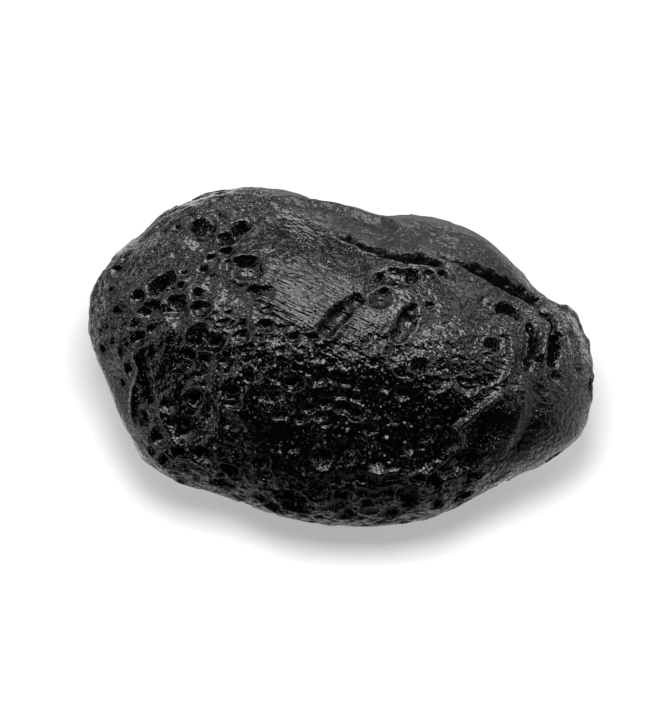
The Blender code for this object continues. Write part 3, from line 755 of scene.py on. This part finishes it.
class NodeKit:
    """Adds nodes to a tree and links them, giving back the socket that carries each result."""

    def __init__(self, tree: bpy.types.NodeTree) -> None:
        """Keep the tree's nodes and links."""
        self.nodes, self.links = tree.nodes, tree.links

    def link(self, value: object, socket: Socket) -> None:
        """Link a socket to another, or set a plain value on it."""
        if isinstance(value, Socket):
            self.links.new(value, socket)
        else:
            socket.default_value = value

    def add(self, kind: str, **inputs: object) -> bpy.types.Node:
        """Add a node of a kind, with its named inputs linked or set."""
        node = self.nodes.new(kind)
        for name, value in inputs.items():
            self.link(value, node.inputs[name])
        return node

    def attribute(self, name: Attribute) -> Socket:
        """Read one of the skin's numbers."""
        node = self.add("ShaderNodeAttribute")
        node.attribute_name = name.value
        return node.outputs["Fac"]

    def math(self, operation: str, *values: object) -> Socket:
        """Work out a number from others, given as sockets or plainly."""
        node = self.add("ShaderNodeMath")
        node.operation = operation
        for value, socket in zip(values, node.inputs):
            self.link(value, socket)
        return node.outputs["Value"]

    def vector(self, operation: str, *values: object, scale: object = 1.0) -> Socket:
        """Work out a vector, or a dot product, from others, given as sockets or plainly."""
        node = self.add("ShaderNodeVectorMath")
        node.operation = operation
        for value, socket in zip(values, node.inputs):
            self.link(value, socket)
        self.link(scale, node.inputs[3])  # the Scale socket, by its place, since it is hidden at first
        return node.outputs["Value" if operation == "DOT_PRODUCT" else "Vector"]

    def parts(self, vector: Socket) -> list[Socket]:
        """Part a vector into its three numbers."""
        return list(self.add("ShaderNodeSeparateXYZ", Vector=vector).outputs)

    def ranged(
        self, value: object, low: float, high: float,
        start: float = 0.0, end: float = 1.0, straight: bool = False,
    ) -> Socket:
        """Carry a value from the range low to high into start to end, eased unless it goes straight."""
        node = self.add("ShaderNodeMapRange")
        node.interpolation_type = "LINEAR" if straight else "SMOOTHSTEP"
        for setting, socket in zip((value, low, high, start, end), node.inputs):
            self.link(setting, socket)
        return node.outputs["Result"]

    def mapped(self, place: object, turn: float = 0.0, scale: Triple = (1, 1, 1)) -> Socket:
        """Turn a place about Z and scale it."""
        node = self.add("ShaderNodeMapping", Vector=place, Rotation=(0, 0, turn), Scale=scale)
        return node.outputs["Vector"]

    def noise(self, place: object, scale: float, detail: float = 0) -> Socket:
        """Make smooth noise, from 0 to 1 about a half."""
        return self.add("ShaderNodeTexNoise", Vector=place, Scale=scale, Detail=detail).outputs["Fac"]

    def blend(self, share: object, first: object, second: object) -> Socket:
        """Blend two numbers by a share of the second."""
        return self.add("ShaderNodeMix", Factor=share, A=first, B=second).outputs["Result"]

    def colours(self, share: object, first: object, second: object) -> Socket:
        """Blend two colours by a share of the second."""
        first, second = ((*ink, 1) if isinstance(ink, tuple) else ink for ink in (first, second))
        return self.add("ShaderNodeMixRGB", Fac=share, Color1=first, Color2=second).outputs["Color"]

    def bump(self, height: object, relief: float, normal: object = None) -> Socket:
        """Raise a relief over the surface, or over another relief's normal."""
        below = {} if normal is None else {"Normal": normal}
        return self.add("ShaderNodeBump", Height=height, Distance=relief, **below).outputs["Normal"]


@dataclass(frozen=True)
class BlackGlass:
    """Black natural glass with a weathered skin: satin on the smooth skin, gritty in places, with pale
    specks.

    Grain is a smooth relief, and grit is a fine one of flat chips, each with a tilt of its own: most lie
    nearly flat, and a few odd ones tilt far. Flow lines are a relief drawn out along one direction, which
    turns upright on the flanks. Pale specks are painted into the colour: partly a dusting of dirt, which
    soil colours in places, and partly painted glints, pale where the glass would catch the light.
    """

    colour: Triple = (0.001, 0.0011, 0.001)
    # the pale specks' colour: partly a dusting of dirt, partly painted glints
    dust_and_glint_colour: Triple = (0.33, 0.33, 0.31)
    soil: Triple = (0.2, 0.15, 0.09)
    refraction: float = 1.5
    roughness: float = 0.16
    frosted_roughness: float = 0.34
    # the pale specks' roughness: partly a dusting of dirt, partly painted glints
    dust_and_glint_roughness: float = 0.8
    grain_size: float = 0.55 * MM
    grain_relief: float = 0.22 * MM
    grain_grit: Pair = (0.05, 0.6)  # from the least grain to the most
    grain_least: float = 0.35
    chip_size: float = 0.26 * MM
    chip_tilt: float = 0.45
    chip_flat: float = 0.25  # share of the tilt that the flattest chip has
    chip_odd: float = 2.6  # further share that the oddest one has
    chip_rarity: float = 4.0
    flow_turn: float = math.radians(-28)
    flow_size: Pair = (3.0 * MM, 0.3 * MM)  # along the lines, and across them
    flow_relief: float = 0.2 * MM
    speck_size: float = 0.16 * MM
    speck_patch: float = 3.0 * MM
    speck_patch_share: float = 0.4
    speck_edge: Pair = (0.9, 0.98)
    soil_size: float = 4.0 * MM
    soil_edge: Pair = (0.62, 0.68)

    def flow(self, tree: NodeKit, place: Socket) -> Socket:
        """Draw noise out along the flow, and upright on the flanks, for the height of the flow lines."""
        along, aside = self.flow_size
        turned = tree.mapped(place, turn=-self.flow_turn)
        level = tree.noise(tree.mapped(turned, scale=(1 / along, 1 / aside, 1 / aside)), 1, detail=2)
        upright = tree.noise(tree.mapped(place, scale=(1 / aside, 1 / aside, 1 / along)), 1, detail=2)
        lines = tree.blend(tree.attribute(Attribute.FLANK), level, upright)
        return tree.math("MULTIPLY", lines, tree.attribute(Attribute.FLOW))

    def chips(self, tree: NodeKit, place: Socket, grit: Socket) -> Socket:
        """Tilt each chip: its random way x grit x tilt x (flat share + odd share x number^rarity)."""
        cells = tree.add("ShaderNodeTexVoronoi", Vector=place, Scale=1 / self.chip_size)
        way = tree.vector("SUBTRACT", cells.outputs["Color"], (0.5, 0.5, 0.5))
        number = tree.parts(cells.outputs["Color"])[2]
        rare = tree.math("POWER", number, self.chip_rarity)
        oddness = tree.math("MULTIPLY_ADD", rare, self.chip_odd, self.chip_flat)
        reach = tree.math("MULTIPLY", tree.math("MULTIPLY", grit, self.chip_tilt), oddness)
        return tree.vector("SCALE", way, scale=reach)

    def normal(self, tree: NodeKit, place: Socket) -> Socket:
        """Lay the flow lines, the grain over them and the chips over both.

        Args:
            tree: The material's nodes.
            place: The place on the stone, in metres.

        Returns:
            The normal of the weathered skin.
        """
        grit = tree.attribute(Attribute.GRIT)
        amount = tree.ranged(grit, *self.grain_grit, self.grain_least, 1)
        grain = tree.math("MULTIPLY", tree.noise(place, 1 / self.grain_size, detail=1), amount)
        lines = tree.bump(self.flow(tree, place), self.flow_relief)
        grained = tree.bump(grain, self.grain_relief, lines)
        return tree.vector("NORMALIZE", tree.vector("ADD", grained, self.chips(tree, place, grit)))

    def specks(self, tree: NodeKit, place: Socket) -> Socket:
        """Say where the pale specks lie, partly a dusting of dirt and partly painted glints: where fine
        noise and a share of broad noise add up high.
        """
        fine = tree.noise(place, 1 / self.speck_size, detail=1)
        patch = tree.noise(place, 1 / self.speck_patch, detail=2)
        total = tree.math("ADD", fine, tree.math("MULTIPLY", patch, self.speck_patch_share))
        return tree.ranged(total, *self.speck_edge)

    def material(self) -> bpy.types.Material:
        """Make the glass: a dark dielectric with a weathered normal, frosted places, and pale specks,
        partly a dusting of dirt and soil and partly painted glints.

        Returns:
            The material.
        """
        material = bpy.data.materials.new("black glass")
        material.use_nodes = True
        tree = NodeKit(material.node_tree)
        shader = tree.nodes["Principled BSDF"]
        shader.inputs["IOR"].default_value = self.refraction
        place = tree.add("ShaderNodeTexCoord").outputs["Object"]
        tree.link(self.normal(tree, place), shader.inputs["Normal"])
        # pale specks, partly a dusting of dirt and partly painted glints where the glass would catch the
        # light
        dust_and_glint_share = self.specks(tree, place)
        soiled = tree.ranged(tree.noise(place, 1 / self.soil_size, detail=3), *self.soil_edge)
        dust_and_glint_colour = tree.colours(soiled, self.dust_and_glint_colour, self.soil)
        # paint the pale specks into the base colour: partly dirt, partly painted glints
        tree.link(tree.colours(dust_and_glint_share, self.colour, dust_and_glint_colour), shader.inputs["Base Color"])
        further = self.frosted_roughness - self.roughness
        glossy = tree.math("MULTIPLY_ADD", tree.attribute(Attribute.FROST), further, self.roughness)
        tree.link(tree.blend(dust_and_glint_share, glossy, self.dust_and_glint_roughness), shader.inputs["Roughness"])
        return material


@dataclass
class Tektite:
    """The stone: its skin and its glass."""

    skin: Skin = field(default_factory=Skin)
    glass: BlackGlass = BlackGlass()

    def build(self) -> bpy.types.Object:
        """Build the stone, dress it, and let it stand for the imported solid."""
        stone = self.skin.build("stone_skin")
        stone.data.materials.append(self.glass.material())
        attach(stone, "root")
        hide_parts(NODE)
        log.info("%s: %d points, %d faces", stone.name, len(stone.data.vertices), len(stone.data.polygons))
        return stone


@dataclass(frozen=True)
class Tent:
    """The pale tent round the stone, dark on the side that it is seen from, as a world of light.

    The dark side is a flattened cone about its own direction, and eases out between two cosines of the
    angle away from it. Brightness runs straight from the foot to the zenith, in panes with gaps between
    them, and a brighter card hangs behind. Below the horizon the floor's own paleness shows in the dark.
    """

    tint: Triple = (0.97, 1.0, 0.99)
    bearing: float = math.radians(1)  # of the dark side, from -Y towards +X
    dark_rise: float = 0.36
    flattened: float = 0.5
    dark_edge: Pair = (0.5, 0.12)
    dark: float = 0.012
    floor_light: float = 0.26
    floor_edge: Pair = (-0.1, -0.4)
    foot_height: float = -0.6
    foot: float = 0.35
    zenith: float = 1.0
    panes: Pair = (8.0, 7.0)  # half turns of bearing and of height in a circle
    pane_edge: Pair = (0.1, 0.4)
    gap: float = 0.25
    pane: float = 3.3
    card_way: Triple = (0.5, 0.83, -0.25)  # from the stone to the card's middle
    card_edge: Pair = (0.87, 0.97)
    card: float = 1.8

    def build(self) -> bpy.types.World:
        """Make the world: the dark side's light, and brightness x lit share x panes x card.

        Returns:
            The world.
        """
        world = bpy.data.worlds.new("tent")
        world.use_nodes = True
        tree = NodeKit(world.node_tree)
        background = tree.nodes["Background"]
        background.inputs["Color"].default_value = (*self.tint, 1)
        way = tree.add("ShaderNodeTexCoord").outputs["Generated"]
        x, y, height = tree.parts(way)

        dark_way = unit(np.array([math.sin(self.bearing), -math.cos(self.bearing), self.dark_rise]))
        squeezed = tree.vector("NORMALIZE", tree.vector("MULTIPLY", way, (1, 1, self.flattened)))
        lit = tree.ranged(tree.vector("DOT_PRODUCT", squeezed, dark_way), *self.dark_edge)
        bright = tree.ranged(height, self.foot_height, 1, self.foot, self.zenith, straight=True)

        round_, up = self.panes
        columns = tree.math("SINE", tree.math("MULTIPLY", tree.math("ARCTAN2", y, x), round_))
        rows = tree.math("SINE", tree.math("MULTIPLY", tree.math("ARCSINE", height), up))
        pane = tree.ranged(tree.math("MULTIPLY", columns, rows), *self.pane_edge, self.gap, self.pane)
        card = tree.ranged(tree.vector("DOT_PRODUCT", way, self.card_way), *self.card_edge, 1, self.card)

        light = lit
        for share in (bright, pane, card):
            light = tree.math("MULTIPLY", light, share)
        base = tree.ranged(height, *self.floor_edge, self.dark, self.floor_light, straight=True)
        tree.link(tree.math("ADD", light, base), background.inputs["Strength"])
        return world


@dataclass
class Studio:
    """A pale floor, a tent, a soft lamp over the stone, one over the floor, and a camera on a long lens."""

    lump: Lump = Lump()
    tent: Tent = Tent()
    floor_size: float = 3.0
    floor_colour: float = 0.4
    floor_roughness: float = 0.9
    floor_glow: float = 0.41
    key_place: Triple = (0.03, 0.17, 0.4)
    key_size: Pair = (0.28, 0.22)
    key_radiance: float = 7.0
    shade_place: Triple = (0.0, -0.05, 0.2)
    shade_size: Pair = (0.06, 0.06)
    shade_radiance: float = 55.0
    camera_distance: float = 0.6
    sensor: float = 36.0  # mm
    view_height: float = 70.2 * MM
    view_middle: Pair = (-0.75, 0.5)  # u and v, in mm

    def floor(self) -> bpy.types.Object:
        """Lay the floor: one wide square in the plane that the stone rests on.

        Returns:
            The floor, which the stone's gloss doesn't mirror: it mirrors the tent instead.
        """
        half = self.floor_size / 2
        mesh = bpy.data.meshes.new("floor")
        corners = [(-half, -half, 0), (half, -half, 0), (half, half, 0), (-half, half, 0)]
        mesh.from_pydata(corners, [], [(0, 1, 2, 3)])
        material = bpy.data.materials.new("pale floor")
        material.use_nodes = True
        shader = material.node_tree.nodes["Principled BSDF"]
        shader.inputs["Base Color"].default_value = (*(self.floor_colour,) * 3, 1)
        shader.inputs["Roughness"].default_value = self.floor_roughness
        shader.inputs["Emission Color"].default_value = (1, 1, 1, 1)
        shader.inputs["Emission Strength"].default_value = self.floor_glow
        mesh.materials.append(material)
        floor = add_object("floor", mesh)
        floor.visible_glossy = False
        return floor

    def lamp(self, name: str, place: Triple, size: Pair, radiance: float, lit: bpy.types.Object) -> None:
        """Hang a rectangular soft lamp that looks straight down and lights one object.

        Args:
            name: The lamp's name.
            place: Where it hangs, in metres.
            size: Its width and height, in metres.
            radiance: How bright it looks, against a white of 1.
            lit: The only object that it lights.
        """
        light = bpy.data.lights.new(name, "AREA")
        light.shape = "RECTANGLE"
        light.size, light.size_y = size
        light.energy = radiance * math.pi * size[0] * size[1]
        lamp = add_object(name, light)
        lamp.location = place
        receivers = bpy.data.collections.new(f"lit by the {name}")
        receivers.objects.link(lit)
        lamp.light_linking.receiver_collection = receivers

    def camera(self) -> None:
        """Set the camera straight out from the show face, framed about the view's middle."""
        across, up = self.view_middle
        aim = (self.lump.across * across + self.lump.up * up - (*self.lump.middle, -self.lump.lift)) * MM
        lens = bpy.data.cameras.new("camera")
        lens.sensor_width = self.sensor
        lens.lens = self.sensor * self.camera_distance / self.view_height
        lens.clip_start = 0.01
        camera = add_object("camera", lens)
        camera.location = aim + self.lump.out * self.camera_distance
        camera.rotation_euler = (Vector(aim) - camera.location).to_track_quat("-Z", "Y").to_euler()
        bpy.context.scene.camera = camera

    def build(self, stone: bpy.types.Object) -> None:
        """Lay the floor, light it and the stone, and set the camera, with plain colour handling.

        Args:
            stone: The stone that stands in the studio.
        """
        self.lamp("key lamp", self.key_place, self.key_size, self.key_radiance, stone)
        self.lamp("floor lamp", self.shade_place, self.shade_size, self.shade_radiance, self.floor())
        self.camera()
        bpy.context.scene.world = self.tent.build()
        bpy.context.scene.view_settings.view_transform = "Standard"


def main() -> None:
    """Build the stone and its studio."""
    logging.basicConfig(level=logging.INFO, format="%(name)s: %(message)s")
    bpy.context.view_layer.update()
    stone = Tektite().build()
    Studio().build(stone)


if __name__ == "__main__":
    main()
